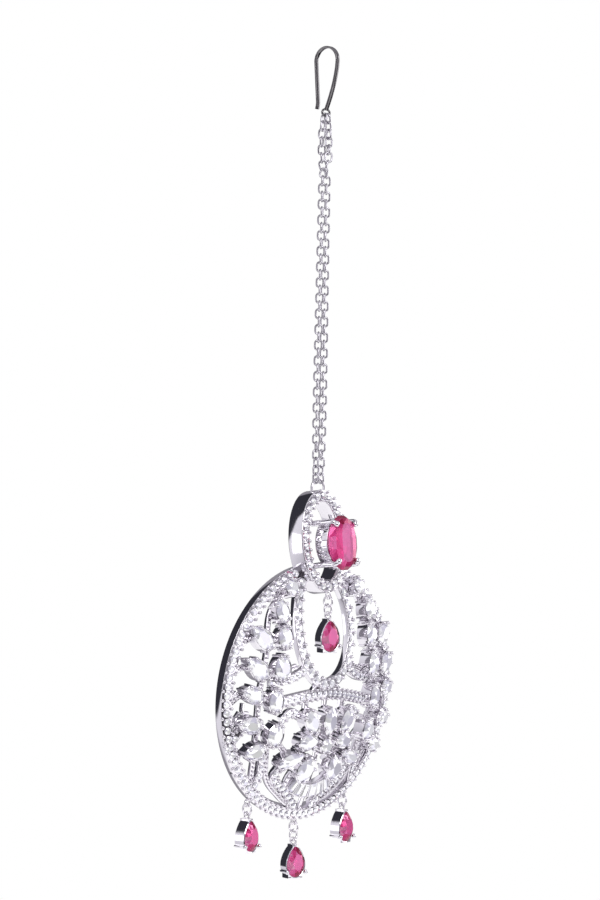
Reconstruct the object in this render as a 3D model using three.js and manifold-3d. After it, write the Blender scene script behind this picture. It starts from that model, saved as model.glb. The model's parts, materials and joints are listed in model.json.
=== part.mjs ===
// A maang tikka: a forehead jewel that hangs from a hair hook on two strands of fine cable chain.
// Its pendant is a domed crescent disc with an oval frame soldered across its tips. The oval frame
// carries a large red stone in a four-claw basket. White stones climb both sides of the disc round
// a flower, and red pear drops hang from the oval frame and from the disc's lower edge.
// Millimetres, +Z up, -Y to the front. The origin is the top of the hook's bend, where it hangs.
import * as THREE from "three";
import { mergeVertices } from "three/addons/utils/BufferGeometryUtils.js";
import Module from "manifold-3d";

const wasm = await Module();
wasm.setup();

// Room left between pieces that touch on the real jewel.
const SEAT_GAP = 0.12;

// Hair hook: a flat strip bent over itself, with an eye at the foot of its front leg.
const HOOK_WIDTH = 0.95;
const HOOK_THICKNESS = 0.38;
const HOOK_BEND_RADIUS = 2.3;
const HOOK_LEG = 8.9;
const HOOK_BACK_LEG = 7.4;
const HOOK_TIP = 1.2;
const HOOK_PINCH = 0.25;
const HOOK_FLARE = 0.55;
const EYE_WIDTH = 2.5;
const EYE_HEIGHT = 1.7;
const EYE_WIRE = 0.42;

// Chain: two strands of oval cable links. The links at both ends of a strand stand by themselves,
// and those between them are drawn as one smooth run.
const LINKS = 47;
const END_LINKS = 3;
const LINK_LENGTH = 1.927;
const LINK_WIDTH = 1.4;
const LINK_WIRE = 0.33;
const LINK_BITE = 0.05;
const RUN_WIDTH = 1.15;
const STRAND_SPACING = 1.66;

// Bail on top of the oval frame, held by the last link of each strand.
const BAIL_WIDTH = 4;
const BAIL_HEIGHT = 2.3;
const BAIL_WIRE = 0.55;

// Oval frame, and the basket and claws of its stone.
const OVAL_WIDTH = 12.6;
const OVAL_HEIGHT = 18.6;
const OVAL_BAND = 2.1;
const OVAL_DEPTH = 3.4;
const OVAL_SETBACK = 0.2;
const OVAL_LEAN = -6;
const BIG_STONE_WIDTH = 8;
const BIG_STONE_HEIGHT = 10;
const BIG_STONE_CROWN = 1.3;
const BIG_STONE_PAVILION = 2.6;
const BIG_STONE_RISE = 4.1;
const BIG_STONE_DROP = 0.6;
const BASKET_SEAT = 0.6;
const BASKET_WALL = 0.5;
const BASKET_DEPTH = 2.2;
const CLAW_WIRE = 0.8;
const CLAW_TURN = 45;
const CLAW_GRIP = 0.5;

// Domed crescent disc, open inside the ring that frames the inner drop.
const DISC_RADIUS = 23.4;
const DISC_RISE = 4.8;
const DISC_DEPTH = 1.2;
const DISC_LEAN = 4.6;
const DISC_SETBACK = 1.6;
const DISC_DROP = 3.5;
const RIM_BAND = 2.1;
const HOLE_WIDTH = 12.6;
const HOLE_HEIGHT = 19;
const HOLE_BAND = 2;
const HOLE_MARGIN = 1.6;
const ARCH_BAND = 2.1;
const STEM_BAND = 1;
// Each kind of metal strip stands this much lower in front than the kind before it.
const LEVEL_STEP = 0.1;

// White stones of the disc. Their places and sizes are shares of the disc's radius.
const COLLET_WALL = 0.3;
const STONE_RISE = 1.5;
const STONE_CROWN = 0.75;
const STONE_PAVILION = 1;
const TABLE_SHARE = 0.55;

// Red pear drops.
const DROP_LENGTH = 5.5;
const DROP_WIDTH = 3.9;
const DROP_CROWN = 0.9;
const DROP_PAVILION = 1.6;
const DROP_POINT = 0.45;
const CUP_WALL = 0.28;
const CUP_DEPTH = 2.2;
const LOOP_SIZE = 1.6;
const JUMP_RING_SIZE = 2.3;
const RING_WIRE = 0.36;
const DROP_SPREAD = 34;

// Facets.
const RIM_STEPS = 40;
const OVAL_STEPS = 20;
const STONE_STEPS = 8;
const BIG_STONE_STEPS = 12;
const RING_STEPS = 10;
const WIRE_SIDES = 5;
const RUN_SIDES = 8;
const BEND_STEPS = 6;

// Right half of the disc's white stones, mirrored to the left: x across, z up, long axis turned
// clockwise from upright, and how far the stone narrows to a point at its upper end.
const VINE_STONES = [
  { name: "tip", x: 0.39, z: 0.8, width: 0.115, length: 0.12, turn: 0, point: 0 },
  { name: "bud", x: 0.51, z: 0.63, width: 0.125, length: 0.17, turn: 10, point: 0.35 },
  { name: "leaf_1_outer", x: 0.705, z: 0.435, width: 0.145, length: 0.225, turn: 50, point: 0.5 },
  { name: "leaf_1_inner", x: 0.5, z: 0.44, width: 0.14, length: 0.165, turn: -5, point: 0.3 },
  { name: "leaf_2_outer", x: 0.75, z: 0.21, width: 0.145, length: 0.22, turn: 55, point: 0.5 },
  { name: "leaf_2_inner", x: 0.53, z: 0.215, width: 0.15, length: 0.185, turn: 0, point: 0.3 },
  { name: "leaf_3_outer", x: 0.775, z: 0.015, width: 0.13, length: 0.18, turn: 70, point: 0.4 },
  { name: "leaf_3_inner", x: 0.575, z: -0.03, width: 0.13, length: 0.175, turn: 0, point: 0.2 },
  { name: "leaf_4_outer", x: 0.77, z: -0.215, width: 0.13, length: 0.185, turn: 85, point: 0.4 },
  { name: "leaf_4_inner", x: 0.54, z: -0.29, width: 0.145, length: 0.17, turn: -10, point: 0.2 },
  { name: "leaf_5", x: 0.69, z: -0.42, width: 0.125, length: 0.18, turn: 105, point: 0.4 },
  { name: "petal_upper", x: 0.2, z: -0.2, width: 0.14, length: 0.19, turn: -145, point: 0.4 },
  { name: "petal_side", x: 0.2, z: -0.35, width: 0.13, length: 0.19, turn: -85, point: 0.4 },
  { name: "sepal", x: 0.335, z: -0.485, width: 0.11, length: 0.25, turn: -70, point: 0.55 },
  { name: "petal_lower", x: 0.165, z: -0.565, width: 0.17, length: 0.2, turn: -35, point: 0.2 },
];
const CENTRE_STONES = [
  { name: "petal_top", x: 0, z: -0.2, width: 0.15, length: 0.21, turn: 180, point: 0.5 },
  { name: "flower_heart", x: 0, z: -0.385, width: 0.115, length: 0.115, turn: 0, point: 0 },
];

// Strips across the disc's middle, as shares of its radius.
const MIDDLE_STRIPS = [
  { name: "arch", level: 1, band: ARCH_BAND, route: [[-0.58, -0.07], [0, 0.005], [0.58, -0.07]] },
  { name: "spine", level: 4, band: STEM_BAND, route: [[0, -0.03], [0, -0.48], [0, -0.94]] },
];

// Right half of the strips that tie the stones to the rings.
const SIDE_STRIPS = [
  { name: "vine", level: 2, route: [[0.42, 0.8], [0.58, 0.6], [0.63, 0.3], [0.68, 0], [0.66, -0.35], [0.6, -0.76]] },
  { name: "leaf_stem_1", level: 3, route: [[0.48, 0.44], [0.7, 0.46], [0.88, 0.36]] },
  { name: "leaf_stem_2", level: 3, route: [[0.34, 0.22], [0.6, 0.16], [0.8, 0.22], [0.95, 0.14]] },
  { name: "leaf_stem_3", level: 3, route: [[0.62, 0], [0.8, 0.02], [0.96, -0.1]] },
  { name: "leaf_stem_4", level: 3, route: [[0.64, -0.2], [0.8, -0.22], [0.92, -0.36]] },
  { name: "leaf_stem_5", level: 3, route: [[0.64, -0.44], [0.76, -0.44], [0.8, -0.56]] },
  { name: "cross_stem", level: 3, route: [[0.68, -0.2], [0.5, -0.32], [0.3, -0.46], [0, -0.38]] },
  { name: "petal_stem", level: 2, route: [[0.22, -0.04], [0.2, -0.2], [0.06, -0.36]] },
  { name: "loop", level: 2, route: [[0.56, -0.32], [0.48, -0.64], [0.3, -0.8], [0.12, -0.9]] },
  { name: "loop_tie", level: 1, route: [[0.1, -0.5], [0.24, -0.62], [0.28, -0.8]] },
];

// Route of the right strand: how far down it is, and its shares of half the strand spacing to the
// right and to the front. The left strand mirrors it, so they cross once near the top.
const STRAND_ROUTE = [
  { down: 0, right: 0.55, front: 0 },
  { down: 0.02, right: 0.9, front: 0 },
  { down: 0.05, right: 0.95, front: 0.2 },
  { down: 0.11, right: 0, front: 0.95 },
  { down: 0.17, right: -0.95, front: 0.2 },
  { down: 0.8, right: -1, front: 0 },
  { down: 1, right: -0.85, front: 0 },
];

// Smaller than any real distance here, and the width of a sliver.
const TINY = 1e-6;
const SLIVER = 0.004;

const halfTurn = Math.PI;
// A ring's height over its flats, and a wire's reach towards the ring's middle, as shares.
const RING_FLAT = Math.cos(halfTurn / RING_STEPS);
const WIRE_FLAT = Math.cos(halfTurn / WIRE_SIDES);
const radians = THREE.MathUtils.degToRad;

const silver = { color: 0xd9d9dd, roughness: 0.12, metalness: 1 };
const whiteStone = { color: 0xeeeef6, roughness: 0.03, metalness: 0 };
const redStone = { color: 0xc01850, roughness: 0.03, metalness: 0 };

function piece(name, geometry, finish) {
  const mesh = new THREE.Mesh(geometry, new THREE.MeshStandardMaterial(finish));
  mesh.name = name;
  return mesh;
}

// A geometry's shared vertices are merged, which makes it a closed solid for joining and cutting.
function solid(geometry) {
  const bare = geometry.clone();
  bare.deleteAttribute("normal");
  bare.deleteAttribute("uv");
  const merged = mergeVertices(bare, 1e-4);
  return new wasm.Manifold(
    new wasm.Mesh({
      numProp: 3,
      vertProperties: new Float32Array(merged.attributes.position.array),
      triVerts: new Uint32Array(merged.index.array),
    }),
  );
}

function join(geometries) {
  return geometries.map(solid).reduce((whole, next) => whole.add(next));
}

// A joined or cut body as a geometry, without the slivers that joining leaves.
function geometryOf(body) {
  const { vertProperties, triVerts } = body.simplify(SLIVER).getMesh();
  const geometry = new THREE.BufferGeometry();
  geometry.setAttribute("position", new THREE.BufferAttribute(vertProperties, 3));
  geometry.setIndex(new THREE.BufferAttribute(triVerts, 1));
  geometry.computeVertexNormals();
  return geometry;
}

// Changes every point of a geometry by a rule.
function bend(geometry, rule) {
  const { position } = geometry.attributes;
  const point = new THREE.Vector3();
  for (let i = 0; i < position.count; i++) {
    point.fromBufferAttribute(position, i);
    rule(point);
    position.setXYZ(i, point.x, point.y, point.z);
  }
  return geometry;
}

// Flat outlines, drawn across in x and upwards in z.
function ovalOutline(width, height, x = 0, z = 0) {
  return new THREE.Shape().absellipse(x, z, width / 2, height / 2, 0, 2 * halfTurn, false, 0);
}

function ovalBand(width, height, across, x = 0, z = 0) {
  const outline = ovalOutline(width, height, x, z);
  outline.holes.push(ovalOutline(width - 2 * across, height - 2 * across, x, z));
  return outline;
}

// The outline of a strip of even width along a row of points.
function stripOutline(points, width) {
  const sides = points.map((point, i) => {
    const before = points[Math.max(i - 1, 0)];
    const after = points[Math.min(i + 1, points.length - 1)];
    const along = after.clone().sub(before).normalize();
    return new THREE.Vector2(-along.y, along.x).multiplyScalar(width / 2);
  });
  const left = points.map((point, i) => point.clone().add(sides[i]));
  const right = points.map((point, i) => point.clone().sub(sides[i]));
  return new THREE.Shape([...right, ...left.reverse()]);
}

// A path's points without those that repeat the one before, where a line meets an arc.
function withoutRepeats(points) {
  return points.filter((point, i) => i === 0 || point.distanceTo(points[i - 1]) > TINY);
}

// An outline given its thickness, from a front plane backwards.
function plate(outline, front, thickness, steps = OVAL_STEPS) {
  const cut = { depth: thickness, bevelEnabled: false, curveSegments: steps };
  return new THREE.ExtrudeGeometry(outline, cut).rotateX(halfTurn / 2).translate(0, front + thickness, 0);
}

function wireAlong(points, diameter, steps, sides = WIRE_SIDES) {
  const corners = Array.from({ length: sides }, (_, i) => {
    const turn = (2 * halfTurn * i) / sides;
    return new THREE.Vector2(Math.cos(turn), Math.sin(turn)).multiplyScalar(diameter / 2);
  });
  const path = new THREE.CatmullRomCurve3(points, false, "centripetal");
  return new THREE.ExtrudeGeometry(new THREE.Shape(corners), { steps, extrudePath: path });
}

// A closed oval ring of wire, standing in the XZ plane with a flat at its top and at its foot.
function wireRing(width, height, wire) {
  const ring = new THREE.TorusGeometry((width - wire) / 2, wire / 2, WIRE_SIDES, RING_STEPS);
  ring.rotateX(halfTurn / 2);
  const stretch = (height - width * RING_FLAT) / 2;
  return bend(ring, (point) => {
    if (Math.abs(point.z) > TINY) point.z += Math.sign(point.z) * stretch;
  });
}

// Round solids whose outline is a stone's: as wide and long as given, narrowing to a point at +z.
function stoneForm(profile, { width, length, point }, steps) {
  const rings = profile.map(([radius, y]) => new THREE.Vector2(radius, y));
  return bend(new THREE.LatheGeometry(rings, steps), (corner) => {
    const narrowing = 1 - (point * (1 + corner.z) ** 2) / 4;
    corner.x *= (width / 2) * narrowing;
    corner.z *= length / 2;
  });
}

function cutStone(size, crown, pavilion, steps = STONE_STEPS) {
  const profile = [[0, -crown], [TABLE_SHARE, -crown], [1, 0], [0, pavilion]];
  return stoneForm(profile, size, steps);
}

// A cup whose conical seat leaves the stone's underside free. Its mouth is at the stone's edge.
function stoneCup(size, wall, depth, pavilion, steps = STONE_STEPS) {
  const outer = { ...size, width: size.width + 2 * wall, length: size.length + 2 * wall };
  const seat = 1 - (2 * wall) / outer.width;
  const profile = [[0, pavilion + SEAT_GAP], [seat, SEAT_GAP], [1, SEAT_GAP], [1, depth], [0, depth]];
  return stoneForm(profile, outer, steps);
}

const group = new THREE.Group();
const metal = (name, geometry) => piece(name, geometry, silver);

// Hair hook. Its strip is drawn from the free tip over the bend to the foot of the front leg.
const bendCentre = -HOOK_BEND_RADIUS;
const legFoot = bendCentre - HOOK_LEG;
const backFoot = bendCentre - HOOK_BACK_LEG;
const stripRadius = HOOK_BEND_RADIUS + HOOK_THICKNESS / 2;
const hookLine = new THREE.Path();
hookLine.moveTo(stripRadius - HOOK_PINCH + HOOK_FLARE, backFoot - HOOK_TIP);
hookLine.lineTo(stripRadius - HOOK_PINCH, backFoot);
hookLine.lineTo(stripRadius, bendCentre);
hookLine.absarc(0, bendCentre, stripRadius, 0, halfTurn, false);
hookLine.lineTo(0, legFoot);
const hookCut = { depth: HOOK_WIDTH, bevelEnabled: false };
const hookStrip = new THREE.ExtrudeGeometry(
  stripOutline(withoutRepeats(hookLine.getPoints(BEND_STEPS)), HOOK_THICKNESS),
  hookCut,
);
hookStrip.translate(0, 0, -HOOK_WIDTH / 2).applyMatrix4(
  new THREE.Matrix4().makeBasis(
    new THREE.Vector3(0, 1, 0),
    new THREE.Vector3(0, 0, 1),
    new THREE.Vector3(1, 0, 0),
  ),
);
const eyeCentre = legFoot - EYE_HEIGHT / 2 + EYE_WIRE;
const hookEye = wireRing(EYE_WIDTH, EYE_HEIGHT, EYE_WIRE).translate(0, 0, eyeCentre);
group.add(metal("hair_hook", geometryOf(join([hookStrip, hookEye]))));

// Chain. Links stand by turns fore and aft and across, each hooked through the one above.
const linkPitch = LINK_LENGTH - LINK_WIRE * (1 + WIRE_FLAT) * RING_FLAT + LINK_BITE;
const eyeFloor = eyeCentre - EYE_HEIGHT / 2 + EYE_WIRE;
const firstLink = eyeFloor + SEAT_GAP + LINK_WIRE - LINK_LENGTH / 2;
const chainDrop = linkPitch * (LINKS - 1);

function strandOffset(share, side, key) {
  const next = Math.max(1, STRAND_ROUTE.findIndex((row) => row.down >= share - TINY));
  const [above, below] = [STRAND_ROUTE[next - 1], STRAND_ROUTE[next]];
  const eased = THREE.MathUtils.smoothstep(share, above.down, below.down);
  return (side * STRAND_SPACING * THREE.MathUtils.lerp(above[key], below[key], eased)) / 2;
}

function linkPlace(i, side) {
  const share = i / (LINKS - 1);
  const [right, front] = [strandOffset(share, side, "right"), strandOffset(share, side, "front")];
  return new THREE.Vector3(right, -front, firstLink - i * linkPitch);
}

function strand(side) {
  const places = Array.from({ length: LINKS }, (_, i) => linkPlace(i, side));
  const run = wireAlong(places.slice(END_LINKS - 1, 1 - END_LINKS), RUN_WIDTH, LINKS - 2 * END_LINKS, RUN_SIDES);
  const links = places.flatMap(({ x, y, z }, i) => {
    if (i >= END_LINKS && i < LINKS - END_LINKS) return [];
    const link = wireRing(LINK_WIDTH, LINK_LENGTH, LINK_WIRE);
    if (i % 2 === 0) link.rotateZ(halfTurn / 2);
    return [link.translate(x, y, z)];
  });
  return geometryOf(join([run, ...links]));
}
group.add(metal("chain_left", strand(-1)), metal("chain_right", strand(1)));

// Pendant. Its own origin is the axis of the bail's bar, which rests in the last links.
const pendant = new THREE.Group();
pendant.position.z = firstLink - chainDrop - LINK_LENGTH / 2 + LINK_WIRE + SEAT_GAP + BAIL_WIRE / 2;
group.add(pendant);

const oval = new THREE.Group();
const ovalTop = BAIL_WIRE / 2 - BAIL_HEIGHT;
oval.position.set(0, -OVAL_SETBACK, ovalTop - OVAL_HEIGHT / 2);
oval.rotation.x = radians(OVAL_LEAN);
const disc = new THREE.Group();
disc.position.set(0, DISC_SETBACK, oval.position.z - DISC_DROP - DISC_RADIUS);
disc.rotation.x = radians(DISC_LEAN);
pendant.add(oval, disc);
for (const part of [oval, disc]) part.updateMatrix();

// Bail, with its feet in the middle of the oval frame's band.
const bailSide = (BAIL_WIDTH - BAIL_WIRE) / 2;
const footShare = bailSide / (OVAL_WIDTH / 2 - OVAL_BAND / 2);
const bailFoot = oval.position.z + (OVAL_HEIGHT / 2 - OVAL_BAND / 2) * Math.sqrt(1 - footShare ** 2);
const bailCorner = bailSide / 2;
const bail = wireAlong(
  [
    new THREE.Vector3(-bailSide, 0, bailFoot),
    new THREE.Vector3(-bailSide, 0, -bailCorner),
    new THREE.Vector3(-bailCorner, 0, 0),
    new THREE.Vector3(bailCorner, 0, 0),
    new THREE.Vector3(bailSide, 0, -bailCorner),
    new THREE.Vector3(bailSide, 0, bailFoot),
  ],
  BAIL_WIRE,
  BEND_STEPS,
);

// Oval frame with the basket that its stone sits in, and four claws from the frame over the stone.
const ovalFront = -OVAL_DEPTH / 2;
const bigStoneY = ovalFront - BIG_STONE_RISE;
const seatShare = 1 - BASKET_SEAT / BIG_STONE_PAVILION;
const basketWidth = BIG_STONE_WIDTH * seatShare + 2 * (SEAT_GAP + BASKET_WALL);
const basketHeight = BIG_STONE_HEIGHT * seatShare + 2 * (SEAT_GAP + BASKET_WALL);
const basket = plate(
  ovalBand(basketWidth, basketHeight, BASKET_WALL),
  bigStoneY + BASKET_SEAT,
  BASKET_DEPTH,
);

function claw(turn) {
  const at = (width, height, y) =>
    new THREE.Vector3((Math.cos(turn) * width) / 2, y, (Math.sin(turn) * height) / 2);
  const edge = CLAW_WIRE + 2 * SEAT_GAP;
  const tip = -2 * CLAW_GRIP;
  const crownSlope = (2 * BIG_STONE_CROWN) / (BIG_STONE_WIDTH * (1 - TABLE_SHARE));
  const lift = CLAW_WIRE / 2 + SEAT_GAP + crownSlope * CLAW_GRIP;
  return wireAlong(
    [
      at(OVAL_WIDTH - 2 * OVAL_BAND, OVAL_HEIGHT - 2 * OVAL_BAND, 0),
      at(basketWidth, basketHeight, bigStoneY + BASKET_SEAT + BASKET_DEPTH / 2),
      at(BIG_STONE_WIDTH + edge, BIG_STONE_HEIGHT + edge, bigStoneY),
      at(BIG_STONE_WIDTH + tip, BIG_STONE_HEIGHT + tip, bigStoneY - lift),
    ],
    CLAW_WIRE,
    BEND_STEPS,
  );
}
const clawTurns = [CLAW_TURN, 180 - CLAW_TURN, 180 + CLAW_TURN, -CLAW_TURN].map(radians);
const ovalBody = [
  plate(ovalBand(OVAL_WIDTH, OVAL_HEIGHT, OVAL_BAND), ovalFront, OVAL_DEPTH),
  ...[basket, ...clawTurns.map(claw)].map((geometry) => geometry.translate(0, 0, -BIG_STONE_DROP)),
].map((geometry) => geometry.applyMatrix4(oval.matrix));
const bigStoneSize = { width: BIG_STONE_WIDTH, length: BIG_STONE_HEIGHT, point: 0 };
const bigStone = piece(
  "centre_stone",
  cutStone(bigStoneSize, BIG_STONE_CROWN, BIG_STONE_PAVILION, BIG_STONE_STEPS),
  redStone,
);
bigStone.position.set(0, bigStoneY, -BIG_STONE_DROP);
oval.add(bigStone);

// Disc. Its flat strips are pressed into a shallow dome.
const domeRise = (x, z) => DISC_RISE * (1 - (x ** 2 + z ** 2) / DISC_RADIUS ** 2);

function domedPlate(outline, level, steps) {
  const front = level * LEVEL_STEP;
  return bend(plate(outline, front, DISC_DEPTH - 2 * front, steps), (point) => {
    point.y -= domeRise(point.x, point.z);
  });
}

function domedStrip({ level, route, band = STEM_BAND }, side) {
  const stops = route.map(([x, z]) => new THREE.Vector2(side * x, z).multiplyScalar(DISC_RADIUS));
  const points = new THREE.SplineCurve(stops).getPoints(2 * (stops.length - 1));
  return domedPlate(stripOutline(points, band), level);
}

const holeCentre = DISC_RADIUS - HOLE_MARGIN - HOLE_HEIGHT / 2;
const holeRing = ovalBand(HOLE_WIDTH + 2 * HOLE_BAND, HOLE_HEIGHT + 2 * HOLE_BAND, HOLE_BAND, 0, holeCentre);
const hole = ovalOutline(HOLE_WIDTH, HOLE_HEIGHT, 0, holeCentre);
const openwork = [
  domedPlate(ovalBand(2 * DISC_RADIUS, 2 * DISC_RADIUS, RIM_BAND), 0, RIM_STEPS),
  ...MIDDLE_STRIPS.map((row) => domedStrip(row, 1)),
  ...[-1, 1].flatMap((side) => SIDE_STRIPS.map((row) => domedStrip(row, side))),
];

// A place on the dome, facing straight out of it.
function onDome(x, z, rise) {
  const place = new THREE.Object3D();
  const slope = (2 * DISC_RISE) / DISC_RADIUS ** 2;
  const outward = new THREE.Vector3(x * slope, -1, z * slope).normalize();
  place.position.set(x, -domeRise(x, z), z).addScaledVector(outward, rise);
  place.quaternion.setFromUnitVectors(new THREE.Vector3(0, -1, 0), outward);
  return place;
}

const sides = [{ name: "right", sign: 1 }, { name: "left", sign: -1 }];
const settings = [
  ...CENTRE_STONES.map((row) => ({ ...row, sign: 1 })),
  ...sides.flatMap(({ name, sign }) =>
    VINE_STONES.map((row) => ({ ...row, name: `${row.name}_${name}`, sign })),
  ),
];
const collets = settings.map(({ name, x, z, width, length, turn, point, sign }) => {
  const size = { width: width * DISC_RADIUS, length: length * DISC_RADIUS, point };
  const place = onDome(sign * x * DISC_RADIUS, z * DISC_RADIUS, STONE_RISE);
  place.rotateY(sign * radians(turn));
  place.updateMatrix();
  const stone = piece(`stone_${name}`, cutStone(size, STONE_CROWN, STONE_PAVILION), whiteStone);
  stone.position.copy(place.position);
  stone.quaternion.copy(place.quaternion);
  disc.add(stone);
  const depth = STONE_RISE + DISC_DEPTH / 2;
  return stoneCup(size, COLLET_WALL, depth, STONE_PAVILION).applyMatrix4(place.matrix);
});

// Eyes on the disc's lower edge and under the oval frame, which the drops' jump rings hang from.
const eyeReach = LOOP_SIZE / 2 - RING_WIRE;
const rimEyes = [-DROP_SPREAD, 0, DROP_SPREAD].map((turn) => {
  const reach = DISC_RADIUS + eyeReach;
  const along = new THREE.Vector2(Math.sin(radians(turn)), -Math.cos(radians(turn)));
  return new THREE.Vector3(along.x * reach, DISC_DEPTH / 2, along.y * reach);
});
const makeEye = ({ x, y, z }) => wireRing(LOOP_SIZE, LOOP_SIZE, RING_WIRE).translate(x, y, z);
const ovalEye = new THREE.Vector3(0, ovalFront, -OVAL_HEIGHT / 2 - eyeReach);

const throughOval = plate(
  ovalOutline(OVAL_WIDTH - OVAL_BAND, OVAL_HEIGHT - OVAL_BAND),
  -DISC_RADIUS,
  2 * DISC_RADIUS,
).applyMatrix4(oval.matrix);
const throughHole = plate(hole, -DISC_RADIUS, 2 * DISC_RADIUS);
const discBody = join([...openwork, ...collets])
  .subtract(solid(throughHole))
  .add(solid(domedPlate(holeRing, 1)))
  .add(join(rimEyes.map(makeEye)));
const discInPlace = solid(geometryOf(discBody).applyMatrix4(disc.matrix));
const pendantFrame = discInPlace
  .subtract(solid(throughOval))
  .add(join([...ovalBody, bail, makeEye(ovalEye).applyMatrix4(oval.matrix)]));
pendant.add(metal("pendant_frame", geometryOf(pendantFrame)));

// Drops. Each hangs straight down from its eye on one or two jump rings.
function hang(name, eye, rings) {
  const drop = new THREE.Group();
  drop.position.copy(eye);
  const below = (upper, lower) => (upper + lower) / 2 - 2 * RING_WIRE - SEAT_GAP;
  let z = 0;
  let upper = LOOP_SIZE;
  rings.forEach((ringName, i) => {
    z -= below(upper, JUMP_RING_SIZE);
    upper = JUMP_RING_SIZE;
    const ring = metal(`${name}_${ringName}`, wireRing(JUMP_RING_SIZE, JUMP_RING_SIZE, RING_WIRE));
    ring.rotation.z = i % 2 === 0 ? halfTurn / 2 : 0;
    ring.position.z = z;
    drop.add(ring);
  });
  z -= below(upper, LOOP_SIZE);
  const loop = wireRing(LOOP_SIZE, LOOP_SIZE, RING_WIRE);
  if (rings.length % 2 === 0) loop.rotateZ(halfTurn / 2);
  loop.translate(0, 0, z);
  const size = { width: DROP_WIDTH, length: DROP_LENGTH, point: DROP_POINT };
  const stoneZ = z - LOOP_SIZE / 2 + RING_WIRE / 2 - CUP_WALL - DROP_LENGTH / 2;
  const cup = stoneCup(size, CUP_WALL, CUP_DEPTH, DROP_PAVILION, BIG_STONE_STEPS);
  cup.translate(0, -CUP_DEPTH / 2, stoneZ);
  drop.add(metal(`${name}_setting`, geometryOf(join([cup, loop]))));
  const stone = piece(`${name}_stone`, cutStone(size, DROP_CROWN, DROP_PAVILION, BIG_STONE_STEPS), redStone);
  stone.position.set(0, -CUP_DEPTH / 2, stoneZ);
  drop.add(stone);
  pendant.add(drop);
}
const twoRings = ["upper_ring", "lower_ring"];
hang("inner_drop", ovalEye.applyMatrix4(oval.matrix), twoRings);
const rimDrops = [
  { name: "left_drop", rings: ["ring"] },
  { name: "middle_drop", rings: twoRings },
  { name: "right_drop", rings: ["ring"] },
];
rimEyes.forEach((eye, i) => hang(rimDrops[i].name, eye.applyMatrix4(disc.matrix), rimDrops[i].rings));

export default group;
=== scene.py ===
import json
import math

import bmesh
import bpy
import numpy as np
from mathutils import Matrix, Vector


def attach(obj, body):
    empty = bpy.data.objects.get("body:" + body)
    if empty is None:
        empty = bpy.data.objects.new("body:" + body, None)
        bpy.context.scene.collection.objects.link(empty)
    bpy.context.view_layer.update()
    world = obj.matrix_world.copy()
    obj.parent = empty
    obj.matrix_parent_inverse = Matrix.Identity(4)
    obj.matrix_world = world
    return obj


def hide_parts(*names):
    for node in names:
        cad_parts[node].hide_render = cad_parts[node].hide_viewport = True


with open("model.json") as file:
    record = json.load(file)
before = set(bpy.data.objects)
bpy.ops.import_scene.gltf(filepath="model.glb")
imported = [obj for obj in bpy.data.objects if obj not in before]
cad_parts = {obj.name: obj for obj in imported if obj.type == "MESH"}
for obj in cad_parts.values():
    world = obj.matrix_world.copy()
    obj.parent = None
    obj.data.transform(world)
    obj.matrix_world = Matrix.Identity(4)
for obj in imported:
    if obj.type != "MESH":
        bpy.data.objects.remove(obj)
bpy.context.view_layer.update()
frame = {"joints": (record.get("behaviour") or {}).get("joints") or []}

# The view. The jewel hangs level with the lens, turned so that its front faces right of the
# viewer and the thin left walls of its disc and oval frame show.
MM = 0.001
VIEW_TARGET = Vector((-2.185, 2.605, -72.49))
VIEW_TURN = math.radians(-50)
VIEW_DISTANCE = 650
VIEW_ROLL = math.radians(1.2)
VIEW_LENS = 144.3
VIEW_CLIP = 0.01, 20

away = Vector((math.sin(VIEW_TURN), -math.cos(VIEW_TURN), 0))
across = Vector((math.cos(VIEW_TURN), math.sin(VIEW_TURN), 0))
camera = bpy.data.objects.new("camera", bpy.data.cameras.new("camera"))
camera.data.lens = VIEW_LENS
camera.data.clip_start, camera.data.clip_end = VIEW_CLIP
level = Matrix((across, Vector((0, 0, 1)), away)).transposed()
camera.matrix_world = Matrix.LocRotScale(
    (VIEW_TARGET + away * VIEW_DISTANCE) * MM,
    (level @ Matrix.Rotation(VIEW_ROLL, 3, "Z")).to_quaternion(),
    None,
)
bpy.context.collection.objects.link(camera)
bpy.context.scene.camera = camera
bpy.context.scene.view_settings.view_transform = "Standard"

# The studio: white surroundings, five soft boxes and a small pale floor under the jewel. Mirror
# metal sees a grey room instead. Its low front is dark, two black cards stand behind the jewel,
# and a grey wall straight behind draws a darker edge round every bead.
FLOOR_DROP = 330
FLOOR_RADIUS = 350
FLOOR_SIDES = 96
FLOOR_WHITE, FLOOR_ROUGHNESS = (0.9, 0.9, 0.91, 1), 0.9
BLACK, WHITE = (0, 0, 0, 1), (1, 1, 1, 1)
ROOM_STOPS = [
    (0.0, (0.34, 0.33, 0.36, 1)),
    (0.35, (0.28, 0.27, 0.3, 1)),
    (0.6, (0.66, 0.65, 0.7, 1)),
    (0.85, (0.9, 0.89, 0.94, 1)),
]
ROOM_BACK, ROOM_TOP, ROOM_MIDDLE = 0.405, 0.27, 0.5
LOW_GREY, REAR_GREY = (0.06, 0.055, 0.065, 1), (0.3, 0.29, 0.32, 1)
CARD_EDGE, CARD_BLACK = (0.84, 0.87), (0.035, 0.035, 0.045, 1)
ROOM_SHADES = [
    {"name": "low_front", "towards": (0, -0.3, -0.95), "edge": (0.38, 0.46), "tone": LOW_GREY},
    {"name": "rear_wall", "towards": (0.766, 0.643, 0), "edge": (0.55, 0.68), "tone": REAR_GREY},
    {"name": "low_card", "towards": (-0.16, 0.93, 0.33), "edge": CARD_EDGE, "tone": CARD_BLACK},
    {"name": "high_card", "towards": (-0.12, 0.74, 0.66), "edge": CARD_EDGE, "tone": CARD_BLACK},
]
STONE_ROOM, STONE_ROOM_SHARE = (0.95, 0.94, 0.98, 1), 0.6
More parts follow.
